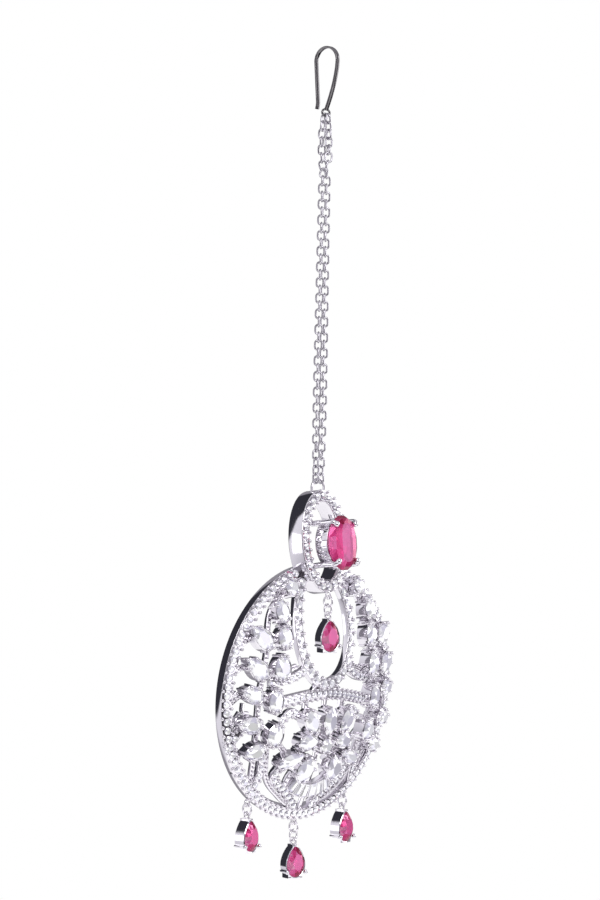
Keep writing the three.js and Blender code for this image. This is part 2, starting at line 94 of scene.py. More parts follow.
SOFT_BOXES = [
    {"name": "key_box", "place": (-420, -520, 330), "size": 420, "power": 1.9},
    {"name": "fill_box", "place": (600, -180, 60), "size": 420, "power": 1.2},
    {"name": "front_box", "place": (200, -580, -110), "size": 400, "power": 0.6},
    {"name": "low_box", "place": (330, -430, -330), "size": 300, "power": 0.28},
    {"name": "left_box", "place": (-600, 440, -130), "size": 300, "power": 0.27},
]


class Tap:
    """A node's output. Sums on it add Math nodes to its recipe."""

    def __init__(self, recipe, socket):
        self.recipe, self.socket = recipe, socket

    def math(self, operation, *terms):
        return self.recipe.node("ShaderNodeMath", {"operation": operation}, dict(enumerate(terms)))

    def other(self, name):
        return Tap(self.recipe, self.socket.node.outputs[name])

    def __add__(self, other):
        return self.math("ADD", self, other)

    def __sub__(self, other):
        return self.math("SUBTRACT", self, other)

    def __rsub__(self, other):
        return self.math("SUBTRACT", other, self)

    def __mul__(self, other):
        return self.math("MULTIPLY", self, other)

    def __abs__(self):
        return self.math("ABSOLUTE", self)

    __radd__, __rmul__ = __add__, __mul__


class Recipe:
    """The node tree of a material or of the room's light."""

    def __init__(self, owner):
        owner.use_nodes = True
        self.tree = owner.node_tree
        self.tree.nodes.clear()

    def node(self, kind, settings=None, sockets=None, output=0):
        made = self.tree.nodes.new(kind)
        for key, value in (settings or {}).items():
            if key == "stops":
                ramp = made.color_ramp.elements
                while len(ramp) < len(value):
                    ramp.new(1)
                for stop, (position, colour) in zip(ramp, value):
                    stop.position, stop.color = position, colour
            else:
                setattr(made, key, value)
        for key, value in (sockets or {}).items():
            if isinstance(value, Tap):
                self.tree.links.new(value.socket, made.inputs[key])
            else:
                made.inputs[key].default_value = value
        return Tap(self, made.outputs[output] if made.outputs else None)

    def mixed(self, factor, first, second):
        return self.node(
            "ShaderNodeMix",
            {"data_type": "RGBA", "clamp_factor": True},
            {0: factor, 6: first, 7: second},
            output=2,
        )


world = bpy.data.worlds.new("studio")
bpy.context.scene.world = world
room = Recipe(world)
heading = room.node("ShaderNodeTexCoord", output="Generated")
to_right = room.node("ShaderNodeSeparateXYZ", sockets={0: heading}, output="X")
to_back, to_top = to_right.other("Y"), to_right.other("Z")
lightness = to_back * ROOM_BACK + to_top * ROOM_TOP + ROOM_MIDDLE
seen_in_metal = room.node("ShaderNodeValToRGB", {"stops": ROOM_STOPS}, {0: lightness})
for shade in ROOM_SHADES:
    right, back, top = shade["towards"]
    start, full = shade["edge"]
    edge = room.node(
        "ShaderNodeValToRGB",
        {"stops": [(start, BLACK), (full, WHITE)], "label": shade["name"]},
        {0: to_right * right + to_back * back + to_top * top},
    )
    seen_in_metal = room.mixed(edge, seen_in_metal, shade["tone"])
rays = room.node("ShaderNodeLightPath", output="Is Camera Ray")
through_stone = rays.other("Is Transmission Ray") * STONE_ROOM_SHARE
seen_in_stones = room.mixed(through_stone, seen_in_metal, STONE_ROOM)
plain = rays + rays.other("Is Diffuse Ray")
room_colour = room.mixed(plain, seen_in_stones, WHITE)
room_light = room.node("ShaderNodeBackground", sockets={"Color": room_colour, "Strength": 1.0})
room.node("ShaderNodeOutputWorld", sockets={"Surface": room_light})

for box in SOFT_BOXES:
    lamp = bpy.data.lights.new(box["name"], "AREA")
    lamp.shape, lamp.size = "SQUARE", box["size"] * MM
    lamp.energy = box["power"]
    light = bpy.data.objects.new(box["name"], lamp)
    light.location = Vector(box["place"]) * MM
    towards = VIEW_TARGET * MM - light.location
    light.rotation_euler = towards.to_track_quat("-Z", "Y").to_euler()
    light.visible_camera = False
    bpy.context.collection.objects.link(light)

floor_mesh = bpy.data.meshes.new("floor")
floor_turns = [2 * math.pi * k / FLOOR_SIDES for k in range(FLOOR_SIDES)]
floor_edge = [
    Vector((math.cos(turn) * FLOOR_RADIUS, math.sin(turn) * FLOOR_RADIUS, -FLOOR_DROP)) * MM
    for turn in floor_turns
]
floor_mesh.from_pydata(floor_edge, [], [list(range(FLOOR_SIDES))])
floor = bpy.data.objects.new("floor", floor_mesh)
bpy.context.collection.objects.link(floor)
floor_white = bpy.data.materials.new("floor_white")
recipe = Recipe(floor_white)
floor_shade = recipe.node(
    "ShaderNodeBsdfPrincipled",
    sockets={"Base Color": FLOOR_WHITE, "Roughness": FLOOR_ROUGHNESS},
)
recipe.node("ShaderNodeOutputMaterial", sockets={"Surface": floor_shade})
floor_mesh.materials.append(floor_white)

# Hair hook: a flat strip of brass bent over itself, its edges tumbled round, with an oval wire eye
# soldered to the foot of its front leg. The free end flares out a little. All metal of the jewel
# is rhodium plated: dark on the hook, grey on the chain's drawn wire and bright on the rest.
HOOK_WIDTH, HOOK_THICKNESS = 0.95, 0.38
HOOK_BEND_RADIUS, HOOK_LEG, HOOK_BACK_LEG, HOOK_TIP = 2.3, 8.9, 7.4, 1.2
HOOK_PINCH, HOOK_FLARE, HOOK_CURVE = 0.6, 0.2, 1.6
HOOK_BEND_STEPS, HOOK_LEG_STEPS = 28, 7
EYE_WIDTH, EYE_HEIGHT, EYE_WIRE, EYE_STEPS = 2.5, 1.7, 0.42, 32
EDGE_ROUND, EDGE_STEPS = 0.15, 3
SHARP_EDGE = math.radians(38)
WIRE_SIDES, WIRE_DOME, STEEP = 12, (75, 50, 25), 0.9
PATCH_SCALE, PIT_SCALE = 400.0, 2600.0
PATCH_ROUGHNESS, PIT_ROUGHNESS = 0.08, 0.06
POLISH_BUMP, POLISH_GRAIN = 0.25, 0.01


class Heap:
    """Points and faces of one piece, in millimetres, before its mesh is made."""

    def __init__(self):
        self.points, self.faces, self.count = [], [], 0

    def add(self, points, faces):
        points = np.asarray(points, float)
        self.faces += [[i + self.count for i in face] for face in faces]
        self.points.append(points)
        self.count += len(points)

    def join(self, part):
        """Takes in all of another heap."""
        self.add(np.concatenate(part.points), part.faces)

    def place(self, matrix):
        """Moves everything by a matrix."""
        turn, shift = np.array(matrix)[:3, :3], np.array(matrix)[:3, 3]
        self.points = [points @ turn.T + shift for points in self.points]
        return self


def make(name, heap, finish, body, flat=False):
    """Makes a heap into a piece of the jewel. Cut stones are shaded flat, facet by facet."""
    mesh = bpy.data.meshes.new(name)
    mesh.from_pydata(np.concatenate(heap.points) * MM, [], heap.faces)
    shape = bmesh.new()
    shape.from_mesh(mesh)
    bmesh.ops.recalc_face_normals(shape, faces=shape.faces)
    shape.to_mesh(mesh)
    shape.free()
    if flat:
        mesh.shade_flat()
    else:
        mesh.shade_smooth()
        mesh.set_sharp_from_angle(angle=SHARP_EDGE)
    mesh.materials.append(finish)
    piece = bpy.data.objects.new(name, mesh)
    bpy.context.collection.objects.link(piece)
    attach(piece, body)
    return piece


def unit(vectors):
    vectors = np.asarray(vectors, float)
    return vectors / np.linalg.norm(vectors, axis=-1, keepdims=True)


def circle(count, radius=1.0, start=0.0):
    angles = start + np.arange(count) * 2 * math.pi / count
    return np.stack([np.cos(angles), np.sin(angles)], axis=1) * radius


def at_depth(flat, y=0.0):
    """Flat points stood upright, x across and z up, at one depth."""
    return np.stack([flat[:, 0], np.full(len(flat), y), flat[:, 1]], axis=1)


def oval_line(width, height, count):
    return at_depth(circle(count) * [width / 2, height / 2])


def bar_section(width, thickness, corner):
    """A rectangle with rounded corners, across in x and forwards in y."""
    quarter = np.linspace(0, math.pi / 2, EDGE_STEPS + 1)
    rows = []
    for k, (sx, sy) in enumerate([(1, 1), (-1, 1), (-1, -1), (1, -1)]):
        middle = np.array([sx * (width / 2 - corner), sy * (thickness / 2 - corner)])
        angles = quarter + k * math.pi / 2
        rows.append(middle + corner * np.stack([np.cos(angles), np.sin(angles)], axis=1))
    return np.concatenate(rows)


def loft(heap, rings, closed=False):
    """Skins a row of rings of equal count. An open row gets a face at each end."""
    rings = np.asarray(rings)
    rows, count = rings.shape[:2]
    faces = []
    for r in range(rows if closed else rows - 1):
        here, there = r * count, (r + 1) % rows * count
        for i in range(count):
            j = (i + 1) % count
            faces.append([here + i, here + j, there + j, there + i])
    if not closed:
        faces += [list(range(count)), list(range((rows - 1) * count, rows * count))[::-1]]
    heap.add(rings.reshape(-1, 3), faces)


def directions(line, closed=False):
    if closed:
        return unit(np.roll(line, -1, axis=0) - np.roll(line, 1, axis=0))
    return unit(np.gradient(line, axis=0))


def sweep(heap, line, ups, section, closed=False):
    """Draws a section along a line. Its y is along ups, its x across."""
    line = np.asarray(line, float)
    along = directions(line, closed)
    ups = unit(ups - along * np.sum(ups * along, axis=1, keepdims=True))
    sides = np.cross(along, ups)
    rings = line[:, None] + sides[:, None] * section[:, :1] + ups[:, None] * section[:, 1:]
    loft(heap, rings, closed)


def wire(heap, line, diameter, closed=False, sides=WIRE_SIDES, taper=None):
    """Round wire along a line, its open ends domed."""
    line = np.asarray(line, float)
    along = directions(line, closed)
    up = np.array([0.0, 0.0, 1.0]) if abs(along[0][2]) < STEEP else np.array([0.0, 1.0, 0.0])
    ups = []
    for step in along:
        up = unit(up - step * (up @ step))
        ups.append(up)
    ups = np.array(ups)
    crosses = np.cross(along, ups)
    radius = np.full(len(line), diameter / 2) if taper is None else np.asarray(taper) / 2
    if not closed:
        domes = np.radians(WIRE_DOME)
        first, last = radius[0], radius[-1]
        line = np.concatenate([
            line[0] - along[0] * first * np.sin(domes)[:, None],
            line,
            line[-1] + along[-1] * last * np.sin(domes[::-1])[:, None],
        ])
        radius = np.concatenate([first * np.cos(domes), radius, last * np.cos(domes[::-1])])
        ends = ((len(domes), len(domes)), (0, 0))
        ups, crosses = np.pad(ups, ends, "edge"), np.pad(crosses, ends, "edge")
    ring = circle(sides)
    rings = line[:, None] + radius[:, None, None] * (
        crosses[:, None] * ring[:, :1] + ups[:, None] * ring[:, 1:]
    )
    loft(heap, rings, closed)


def rhodium_finish(name, light, shade, roughness):
    """Plate in two close tones, with a faint unevenness of the polish and small pits."""
    made = bpy.data.materials.new(name)
    recipe = Recipe(made)
    spot = recipe.node("ShaderNodeTexCoord", output="Object")
    patch = recipe.node(
        "ShaderNodeTexNoise", sockets={"Vector": spot, "Scale": PATCH_SCALE, "Detail": 3.0}
    )
    pits = recipe.node(
        "ShaderNodeTexNoise", sockets={"Vector": spot, "Scale": PIT_SCALE, "Detail": 2.0}
    )
    uneven = recipe.node(
        "ShaderNodeBump",
        sockets={"Strength": POLISH_BUMP, "Distance": POLISH_GRAIN * MM, "Height": pits + patch},
    )
    metal = recipe.node(
        "ShaderNodeBsdfPrincipled",
        sockets={
            "Base Color": recipe.mixed(patch, (*light, 1), (*shade, 1)),
            "Roughness": patch * PATCH_ROUGHNESS + pits * PIT_ROUGHNESS + roughness,
            "Metallic": 1.0,
            "Normal": uneven,
        },
    )
    recipe.node("ShaderNodeOutputMaterial", sockets={"Surface": metal})
    return made


dark_rhodium = rhodium_finish("dark_rhodium", (0.26, 0.25, 0.26), (0.15, 0.145, 0.15), 0.08)
drawn_wire = rhodium_finish("drawn_rhodium_wire", (0.74, 0.72, 0.76), (0.52, 0.5, 0.55), 0.04)
bright_rhodium = rhodium_finish("bright_rhodium", (0.92, 0.895, 0.925), (0.74, 0.715, 0.77), 0.02)

bend_z = -HOOK_BEND_RADIUS
back_foot_z = bend_z - HOOK_BACK_LEG
strip_radius = HOOK_BEND_RADIUS + HOOK_THICKNESS / 2
leg = np.linspace(0, 1, HOOK_LEG_STEPS + 1)[1:]
back_leg = [(strip_radius - HOOK_PINCH * t, bend_z - HOOK_BACK_LEG * t) for t in leg]
flare = [
    (strip_radius - HOOK_PINCH + HOOK_FLARE * t**HOOK_CURVE, back_foot_z - HOOK_TIP * t)
    for t in leg[1:]
]
arc = np.linspace(0, math.pi, HOOK_BEND_STEPS)
bend = [(strip_radius * math.cos(a), bend_z + strip_radius * math.sin(a)) for a in arc]
front_leg = [(strip_radius * (t**HOOK_CURVE - 1), bend_z - HOOK_LEG * t) for t in leg]
hook_line = np.array([(0, y, z) for y, z in [*(back_leg + flare)[::-1], *bend, *front_leg]])
hook_outward = np.cross(directions(hook_line), [1.0, 0, 0])
hook = Heap()
sweep(hook, hook_line, hook_outward, bar_section(HOOK_WIDTH, HOOK_THICKNESS, EDGE_ROUND))
eye_z = bend_z - HOOK_LEG - EYE_HEIGHT / 2 + EYE_WIRE
eye_line = oval_line(EYE_WIDTH - EYE_WIRE, EYE_HEIGHT - EYE_WIRE, EYE_STEPS)
wire(hook, eye_line + [0, 0, eye_z], EYE_WIRE, closed=True)
piece = make("hair_hook_polished", hook, dark_rhodium, "hook_and_chains")
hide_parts("hair_hook")

# Chains: two strands of oval cable links of round wire, each link soldered shut through the one
# above. Both strands start in the hook's eye, cross once near the top and end round the bail, and
# each twists a little just below the hook and untwists just above the bail.
LINKS = 47
LINK_PITCH = 1.4092
LINK_POINTS, LINK_SIDES = 20, 10
CHAIN_WIRE = 0.36
CHAIN_LINK_WIDTH = 1.6
CHAIN_LINK_PLAY = 0.02
LAST_LINK_RISE = 0.13
STRAND_SPACING = 1.66
STRAND_ROUTE = [
    {"down": 0, "right": 0.55, "front": 0},
    {"down": 0.02, "right": 0.9, "front": 0},
    {"down": 0.05, "right": 0.95, "front": 0.2},
    {"down": 0.11, "right": 0, "front": 0.95},
    {"down": 0.17, "right": -0.95, "front": 0.2},
    {"down": 0.8, "right": -1, "front": 0},
    {"down": 1, "right": -0.85, "front": 0},
]
LINK_TWIST = math.radians(5)
TWIST_SEED = 7
STRAND_TURN = {"left": math.radians(40), "right": math.radians(-50)}
TURNING_LINKS = 6

hinge = Vector(frame["joints"][0]["pos_m"]) / MM
last_link_z = hinge.z + LAST_LINK_RISE


def strand_spot(i, side):
    """Centre of a link, as the strand's route gives it."""
    share = i / (LINKS - 1)
    stop = next(k for k in range(1, len(STRAND_ROUTE)) if STRAND_ROUTE[k]["down"] >= share)
    above, below = STRAND_ROUTE[stop - 1], STRAND_ROUTE[stop]
    t = (share - above["down"]) / (below["down"] - above["down"])
    eased = t * t * (3 - 2 * t)
    right, front = (
        side * STRAND_SPACING / 2 * (above[key] + (below[key] - above[key]) * eased)
        for key in ("right", "front")
    )
    return np.array([right, -front, last_link_z + (LINKS - 1 - i) * LINK_PITCH])


link_length = LINK_PITCH + 2 * CHAIN_WIRE + CHAIN_LINK_PLAY
link_ring = circle(LINK_POINTS, (CHAIN_LINK_WIDTH - CHAIN_WIRE) / 2)
link_ring[:, 1] += np.sign(link_ring[:, 1]) * (link_length - CHAIN_LINK_WIDTH) / 2
twist = np.random.default_rng(TWIST_SEED)
for side_name, side in (("left", -1), ("right", 1)):
    strand = Heap()
    spots = np.array([strand_spot(i, side) for i in range(LINKS)])
    down = directions(spots)
    for i, spot in enumerate(spots):
        turned = min(i, LINKS - 1 - i, TURNING_LINKS) / TURNING_LINKS
        turn = (math.pi / 2 if i % 2 == 0 else 0) + STRAND_TURN[side_name] * turned
        turn += twist.uniform(-LINK_TWIST, LINK_TWIST) * turned
        flat = np.array([math.cos(turn), math.sin(turn), 0])
        flat = unit(flat - down[i] * (flat @ down[i]))
        line = spot + link_ring[:, :1] * flat + link_ring[:, 1:] * down[i]
        wire(strand, line, CHAIN_WIRE, closed=True, sides=LINK_SIDES)
    piece = make(f"chain_{side_name}_links", strand, drawn_wire, "hook_and_chains")
    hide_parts(f"chain_{side_name}")

# Oval frame: a cast oval band, deeper than it is wide, with a wire bail soldered into its top and
# one row of small stones along its front, held by beads raised from its edges.
BAIL_WIDTH, BAIL_HEIGHT, BAIL_WIRE, BAIL_BOW = 4, 2.3, 0.55, 1.7
BAIL_FOOT, BAIL_STEPS = 0.4, 21
OVAL_WIDTH, OVAL_HEIGHT, OVAL_BAND, OVAL_DEPTH = 12.6, 18.6, 2.1, 3.4
OVAL_EDGE, OVAL_STEPS = 0.22, 72
OVAL_SETBACK, OVAL_DROP, OVAL_LEAN = 0.2, 11.325, math.radians(-6)
OVAL_ROW, OVAL_STONE_RISE, OVAL_BEAD_RISE = 25, 0.12, 0.14
PAVE_STONE, PAVE_CROWN, PAVE_PAVILION, PAVE_TABLE, PAVE_SIDES = 1.3, 0.3, 0.45, 0.5, 6
PAVE_BEAD, BEAD_INSET = 0.63, 0.3
BALL_SIDES, BALL_RINGS = 10, 5
GIRDLE, STAR_DEPTH, DEEP_SHARE, DEEP_DEPTH = 0.03, 0.6, 0.28, 0.78
DIRECTION_REACH = 1e-3
FACET_SCALE, FACET_ROUGHNESS = 3.1, 0.02

pendant_frame = Matrix.Translation(hinge)
oval_frame = (
    pendant_frame
    @ Matrix.Translation((0, -OVAL_SETBACK, -OVAL_DROP))
    @ Matrix.Rotation(OVAL_LEAN, 4, "X")
)


def forwards(count):
    return np.tile([0.0, -1.0, 0.0], (count, 1))


def outline(width, length, point, count, share=1.0, start=0.0):
    """A stone's outline, x across and z along, narrowed towards its upper end by its point."""
    flat = circle(count, share, start + math.pi / 2)
    narrowing = 1 - point * (1 + flat[:, 1]) ** 2 / 4
    return np.stack([flat[:, 0] * width / 2 * narrowing, flat[:, 1] * length / 2], axis=1)


def cut_form(width, length, point, crown, pavilion, table, sides):
    """A brilliant-cut stone, its table to the front at -y and its girdle at y = 0."""
    half_step = math.pi / sides

    def ring(count, share, y, start=0.0):
        return at_depth(outline(width, length, point, count, share, start), y)

    rows = [
        ring(sides, table, -crown),
        ring(sides, (1 + table) / 2, -crown * STAR_DEPTH, half_step),
        ring(2 * sides, 1.0, -GIRDLE),
        ring(2 * sides, 1.0, GIRDLE),
        ring(sides, DEEP_SHARE, pavilion * DEEP_DEPTH, half_step),
        np.array([[0.0, pavilion, 0.0]]),
    ]
    top, star, upper, lower, deep, culet = np.cumsum([0] + [len(row) for row in rows[:-1]])
    faces = [[top + k for k in range(sides)]]
    for k in range(sides):
        after, before = (k + 1) % sides, (k - 1) % sides
        a, b, c = 2 * k, 2 * k + 1, (2 * k + 2) % (2 * sides)
        faces += [
            [top + k, top + after, star + k],
            [top + k, star + before, upper + a, star + k],
            [star + k, upper + a, upper + b],
            [star + k, upper + b, upper + c],
            [upper + a, upper + b, lower + b, lower + a],
            [upper + b, upper + c, lower + c, lower + b],
            [lower + a, lower + b, deep + k],
            [lower + b, lower + c, deep + k],
            [lower + a, deep + before, culet, deep + k],
        ]
    return np.concatenate(rows), faces


def ball_form():
    rows = [np.array([[0.0, 0.0, -1.0]])]
    for angle in np.linspace(0, math.pi, BALL_RINGS + 1)[1:-1]:
        flat = circle(BALL_SIDES, math.sin(angle))
        rows.append(np.column_stack([flat, np.full(BALL_SIDES, -math.cos(angle))]))
    rows.append(np.array([[0.0, 0.0, 1.0]]))
    last = 1 + BALL_SIDES * (BALL_RINGS - 1)
    steps = [(i, (i + 1) % BALL_SIDES) for i in range(BALL_SIDES)]
    faces = [[0, 1 + j, 1 + i] for i, j in steps]
    for low in range(1, last - BALL_SIDES, BALL_SIDES):
        high = low + BALL_SIDES
        faces += [[low + i, low + j, high + j, high + i] for i, j in steps]
    faces += [[last - BALL_SIDES + i, last - BALL_SIDES + j, last] for i, j in steps]
    return np.concatenate(rows), faces


def balls(heap, places, diameter):
    points, faces = ball_form()
    for place in places:
        heap.add(points * diameter / 2 + place, faces)


def set_stones(heap, form, places, outward, along):
    """Puts a stone at each place, its table facing outward and its length along a direction."""
    points, faces = form
    for place, front, length in zip(places, unit(outward), unit(along)):
        length = unit(length - front * (length @ front))
        sideways = np.cross(length, front)
        heap.add(points @ np.array([sideways, -front, length]) + place, faces)


def evenly(line, count, closed, offset=0.0):
    """Places spread evenly along a line, with the line's direction at each."""
    ends = np.concatenate([line, line[:1]]) if closed else line
    steps = np.concatenate([[0], np.cumsum(np.linalg.norm(np.diff(ends, axis=0), axis=1))])
    total = steps[-1]

    def spots(run):
        run = run % total if closed else np.clip(run, 0, total)
        return np.stack([np.interp(run, steps, axis) for axis in ends.T], axis=1)

    at = (np.arange(count) + offset) * total / count if closed else np.linspace(0, total, count)
    nudge = total * DIRECTION_REACH
    return spots(at), unit(spots(at + nudge) - spots(at - nudge))


def cut_stone_finish(name, tints, ior, clearness, silvering, gleam, painted_shade_right=0.0, painted_shade_ends=0.0):
    """Polished cut stone, the light on its facets painted into its colour. Each facet is lighter or
    darker
    by the way it faces: partly at random, as painted glints, and darker to the right and towards
    the stone's ends, as painted shade, as much as the last two shares say."""
    made = bpy.data.materials.new(name)
    recipe = Recipe(made)
    facing = recipe.node("ShaderNodeTexCoord", output="Normal")
    # Painted facet glints: a noise keyed to each flat facet's facing lightens or darkens its colour;
    # it also varies the roughness.
    facet = recipe.node(
        "ShaderNodeTexNoise", sockets={"Vector": facing, "Scale": FACET_SCALE, "Detail": 1.0}
    )
    to_side = recipe.node("ShaderNodeSeparateXYZ", sockets={0: facing}, output="X")
    # Painted shade: facets facing right and towards the stone's ends are darkened, by the last two
    # shares.
    depth = facet - to_side * painted_shade_right - abs(to_side.other("Z")) * painted_shade_ends
    stone = recipe.node(
        "ShaderNodeBsdfPrincipled",
        sockets={
            "Base Color": recipe.node("ShaderNodeValToRGB", {"stops": tints}, {0: depth}),
            "Roughness": facet * FACET_ROUGHNESS,
            "Metallic": silvering,
            "IOR": ior,
            "Transmission Weight": clearness,
            "Specular Tint": gleam,
        },
    )
    recipe.node("ShaderNodeOutputMaterial", sockets={"Surface": stone})
    return made


# Clear stones: their facets painted from lilac grey to white by the way they face, as painted
# glints.
clear_stone = cut_stone_finish(
    "clear_cut_stone",
    [(0.42, (0.72, 0.7, 0.82, 1)), (0.5, (0.95, 0.95, 1, 1)), (0.56, WHITE)],
    ior=1.9,
    clearness=0.2,
    silvering=0.4,
    gleam=WHITE,
)

oval_body, oval_stones = Heap(), Heap()
oval_middle = oval_line(OVAL_WIDTH - OVAL_BAND, OVAL_HEIGHT - OVAL_BAND, OVAL_STEPS)
oval_section = bar_section(OVAL_BAND, OVAL_DEPTH, OVAL_EDGE)
sweep(oval_body, oval_middle, forwards(OVAL_STEPS), oval_section, closed=True)
pave_form = cut_form(PAVE_STONE, PAVE_STONE, 0, PAVE_CROWN, PAVE_PAVILION, PAVE_TABLE, PAVE_SIDES)
places, along = evenly(oval_middle, OVAL_ROW, True)
places -= [0, OVAL_DEPTH / 2 + OVAL_STONE_RISE, 0]
set_stones(oval_stones, pave_form, places, forwards(OVAL_ROW), along)
places, along = evenly(oval_middle, OVAL_ROW, True, 0.5)
places -= [0, OVAL_DEPTH / 2 + OVAL_BEAD_RISE, 0]
sideways = np.cross(along, forwards(OVAL_ROW)) * (OVAL_BAND / 2 - PAVE_BEAD * BEAD_INSET)
for side in (-1, 1):
    balls(oval_body, places + side * sideways, PAVE_BEAD)
piece = make("oval_frame_band", oval_body.place(oval_frame), bright_rhodium, "pendant")
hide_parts("pendant_frame")
oval_stones.place(oval_frame)
make("oval_row_stones", oval_stones, clear_stone, "pendant", flat=True)

bail_side = (BAIL_WIDTH - BAIL_WIRE) / 2
bail_foot_z = -BAIL_HEIGHT - BAIL_FOOT
bail_line = [
    (-bail_side, 0, bail_foot_z),
    *(
        (-bail_side * math.cos(turn), 0, BAIL_BOW * (math.sin(turn) - 1))
        for turn in np.linspace(0, math.pi, BAIL_STEPS)
    ),
    (bail_side, 0, bail_foot_z),
]
bail = Heap()
wire(bail, bail_line, BAIL_WIRE)
make("bail_loop", bail.place(pendant_frame), bright_rhodium, "pendant")

# Centre stone: a large oval ruby-pink stone, step cut with a long narrow table, in an oval basket
# with a fluted wall. Four claws rise from the frame's inside, stand beside the stone and end in
# round tips on its crown.
BIG_STONE_WIDTH, BIG_STONE_HEIGHT, BIG_STONE_SIDES = 8, 10, 16
BIG_STONE_CROWN, BIG_STONE_PAVILION = 1.15, 2.6
BIG_STONE_FRONT, BIG_STONE_DROP = 5.8, 0.6
BIG_STONE_STEPS = [
    {"across": 0.36, "along": 0.7, "y": -BIG_STONE_CROWN, "roundness": 0.6},
    {"across": 0.7, "along": 0.88, "y": -0.8, "roundness": 0.8},
    {"across": 1, "along": 1, "y": -0.04, "roundness": 1},
    {"across": 1, "along": 1, "y": 0.04, "roundness": 1},
    {"across": 0.7, "along": 0.8, "y": 1.2, "roundness": 0.9},
    {"across": 0.36, "along": 0.55, "y": 2.1, "roundness": 0.8},
    {"across": 0.06, "along": 0.3, "y": BIG_STONE_PAVILION, "roundness": 0.8},
]
BASKET_WALL, BASKET_SEAT, BASKET_DEPTH, BASKET_PLAY = 0.5, 0.6, 2.8, 0.24
BASKET_EDGE, BASKET_STEPS = 0.12, 60
FLUTES, FLUTE_WIRE, FLUTE_SINK, FLUTE_INSET = 28, 0.2, 0.06, 0.2
THIN_WIRE_SIDES = 8
CLAW_TURNS = (45, 135, 225, 315)
CLAW_WIRE, CLAW_BALL, CLAW_TAPER = 1.05, 1.15, 0.8
# Stops of the claws: how far past the stone's outline, both sides together, and y.
CLAW_FOOT = [(1.2, -1.4), (0.6, -2.6)]
CLAW_UPRIGHT = [(0.6, -2.4), (0.7, -4.2), (0.75, -5.8), (0.45, -6.4), (-0.6, -6.8)]


def smooth_stops(stops, steps=8):
    """A smooth line through a few stops, in the plane or in space."""
    stops = np.asarray(stops, float)
    padded = np.concatenate([[2 * stops[0] - stops[1]], stops, [2 * stops[-1] - stops[-2]]])
    t = np.linspace(0, 1, steps, endpoint=False)[:, None]
    rows = [
        b + ((c - a) * t + (2 * a - 5 * b + 4 * c - d) * t**2 + (3 * b - a - 3 * c + d) * t**3) / 2
        for a, b, c, d in zip(padded, padded[1:], padded[2:], padded[3:])
    ]
    return np.concatenate([*rows, stops[-1:]])


def big_stone_ring(step):
    """One edge of the step cut. The less its roundness, the straighter its long sides."""
    flat = circle(BIG_STONE_SIDES, 1.0, math.pi / BIG_STONE_SIDES)
    flat = np.sign(flat) * np.abs(flat) ** step["roundness"]
    reach = [BIG_STONE_WIDTH * step["across"] / 2, BIG_STONE_HEIGHT * step["along"] / 2]
    return at_depth(flat * reach, step["y"])


def beside_stone(angle, margin, y):
    """A place round the big stone, on an oval wider and higher than it by a margin."""
    width, height = BIG_STONE_WIDTH + margin, BIG_STONE_HEIGHT + margin
    return (math.cos(angle) * width / 2, y, math.sin(angle) * height / 2)


# Ruby-pink stones: facets painted from dark crimson to pale pink by the way they face, as painted
# glints and painted shade, with more painted shade on facets facing right and towards the ends.
ruby_stone = cut_stone_finish(
    "ruby_pink_cut_stone",
    [
        (0.32, (0.36, 0.01, 0.06, 1)),
        (0.48, (0.93, 0.07, 0.33, 1)),
        (0.58, (1, 0.24, 0.57, 1)),
        (0.68, (1, 0.45, 0.68, 1)),
    ],
    ior=1.76,
    clearness=0.6,
    silvering=0.1,
    gleam=(1, 0.35, 0.6, 1),
    painted_shade_right=0.26,
    painted_shade_ends=0.45,
)
stone = Heap()
loft(stone, [big_stone_ring(step) for step in BIG_STONE_STEPS])
stone.place(oval_frame @ Matrix.Translation((0, -BIG_STONE_FRONT, -BIG_STONE_DROP)))
piece = make("centre_stone_cut", stone, ruby_stone, "pendant", flat=True)
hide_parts("centre_stone")

basket = Heap()
seat_share = 1 - BASKET_SEAT / BIG_STONE_PAVILION
basket_width = BIG_STONE_WIDTH * seat_share + BASKET_WALL + BASKET_PLAY
basket_height = BIG_STONE_HEIGHT * seat_share + BASKET_WALL + BASKET_PLAY
basket_front = BASKET_SEAT - BIG_STONE_FRONT
wall_line = oval_line(basket_width, basket_height, BASKET_STEPS)
wall_line += [0, basket_front + BASKET_DEPTH / 2, 0]
wall_section = bar_section(BASKET_WALL, BASKET_DEPTH, BASKET_EDGE)
sweep(basket, wall_line, forwards(BASKET_STEPS), wall_section, closed=True)
flute_reach = (np.array([basket_width, basket_height]) + BASKET_WALL - FLUTE_SINK) / 2
flute_feet = circle(FLUTES, 1.0, math.pi / FLUTES) * flute_reach
for foot in at_depth(flute_feet, basket_front + FLUTE_INSET):
    wire(
        basket,
        [foot, foot + [0, BASKET_DEPTH - 2 * FLUTE_INSET, 0]],
        FLUTE_WIRE,
        sides=THIN_WIRE_SIDES,
    )
for angle in np.radians(CLAW_TURNS):
    upright = smooth_stops([beside_stone(angle, margin, y) for margin, y in CLAW_UPRIGHT])
    taper = np.linspace(CLAW_WIRE, CLAW_WIRE * CLAW_TAPER, len(upright))
    wire(basket, upright, CLAW_WIRE, taper=taper)
    balls(basket, [upright[-1]], CLAW_BALL)
    root = (
        math.cos(angle) * (OVAL_WIDTH - OVAL_BAND) / 2,
        0,
        math.sin(angle) * (OVAL_HEIGHT - OVAL_BAND) / 2 + BIG_STONE_DROP,
    )
    foot = [beside_stone(angle, margin, y) for margin, y in CLAW_FOOT]
    wire(basket, smooth_stops([root, *foot]), CLAW_WIRE)
basket.place(oval_frame @ Matrix.Translation((0, 0, -BIG_STONE_DROP)))
make("centre_basket_and_claws", basket, bright_rhodium, "pendant")

